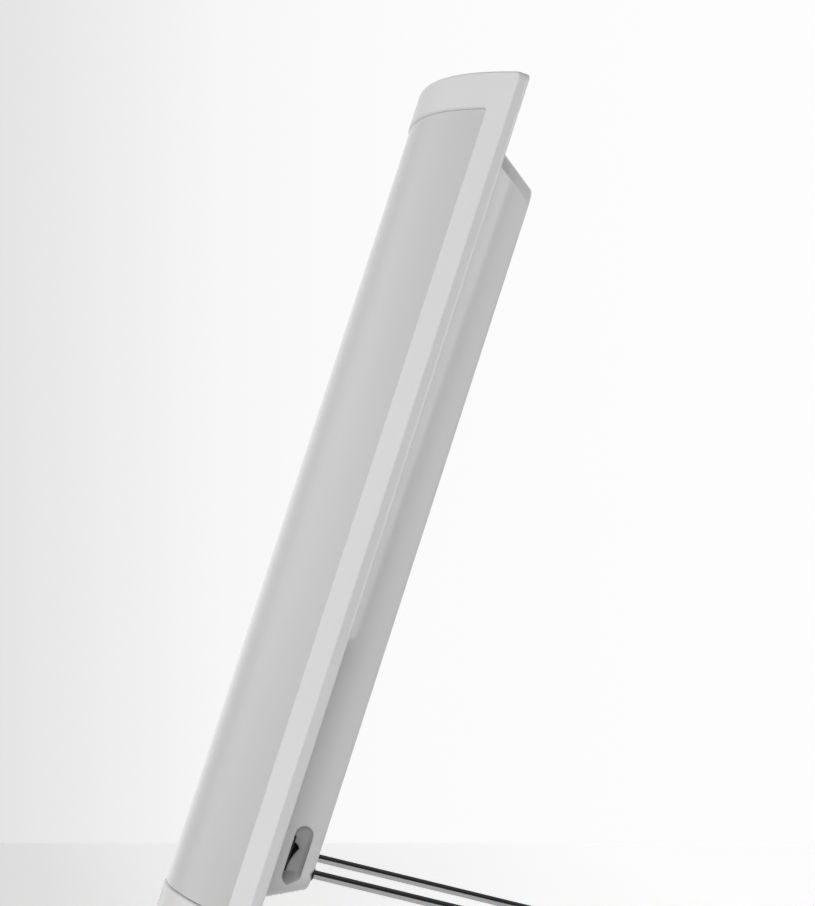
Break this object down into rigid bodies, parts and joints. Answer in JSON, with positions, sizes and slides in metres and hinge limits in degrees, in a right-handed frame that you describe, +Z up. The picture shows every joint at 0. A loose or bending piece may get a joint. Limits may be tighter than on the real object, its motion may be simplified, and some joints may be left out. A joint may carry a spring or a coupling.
{
  "type": "light therapy lamp",
  "caption": "Leaning light therapy lamp: bowed opal screen in a slim frame, tapered rear tray with a side rocker switch, wire prop foot.",
  "frame": {"origin": "on the floor, midway across the lamp and midway along its overall depth from the bowed front to the foot", "axes": "+Z up, -Y the side the light leaves, +X the side with the switch"},
  "size_m": [0.3, 0.253, 0.4957],
  "materials": {
    "frame_plastic": "fine satin moulding",
    "opal_acrylic": "opal, satin sheen",
    "foam": "closed-cell foam",
    "housing_plastic": "fine satin moulding",
    "screw_steel": "zinc plated",
    "white_sheet": "white coated sheet",
    "white_plastic": "moulded",
    "tube_glass": "white phosphor inside clear glass",
    "spring_steel": "bright spring strip",
    "lead_white": "insulation",
    "lead_grey": "insulation",
    "rubber_grey": "soft",
    "rubber_black": "soft",
    "ballast_case": "white enamel",
    "terminal_plastic": "moulded",
    "black_plastic": "fine grain",
    "rocker_plastic": "polished",
    "pin_metal": "nickelled",
    "chromed_wire": "bright plating"
  },
  "bodies": {
    "lamp": {"ballast": "ballast_case", "ballast_lead": "lead_grey", "ballast_screws": "screw_steel", "base_pad_left": "rubber_grey", "base_pad_right": "rubber_grey", "cover_screws": "screw_steel", "foot_sleeve_left": "rubber_black", "foot_sleeve_right": "rubber_black", "front_frame": "frame_plastic", "holder_screws": "screw_steel", "inlet_lead": "lead_grey", "inlet_pins": "pin_metal", "lampholder_left": "white_plastic", "lampholder_right": "white_plastic", "mains_inlet": "black_plastic", "opal_screen": "opal_acrylic", "rear_housing": "housing_plastic", "reflector": "white_sheet", "reflector_screws": "screw_steel", "screen_strip_left": "foam", "screen_strip_right": "foam", "switch_body": "black_plastic", "switch_lead": "lead_grey", "terminal_block": "terminal_plastic", "tube_cap_left": "white_plastic", "tube_cap_right": "white_plastic", "tube_clip_left": "spring_steel", "tube_clip_right": "spring_steel", "tube_lead_left": "lead_white", "tube_lead_right": "lead_white", "tube_left": "tube_glass", "tube_right": "tube_glass", "wire_foot": "chromed_wire"},
    "rocker": {"rocker": "rocker_plastic"}
  },
  "joints": [
    {"name": "rocker_tip", "type": "hinge", "parent": "lamp", "child": "rocker", "pos_m": [0.0847, -0.05833, 0.0585], "axis": [1, 0, 0], "range_deg": [0, 36]}
  ]
}
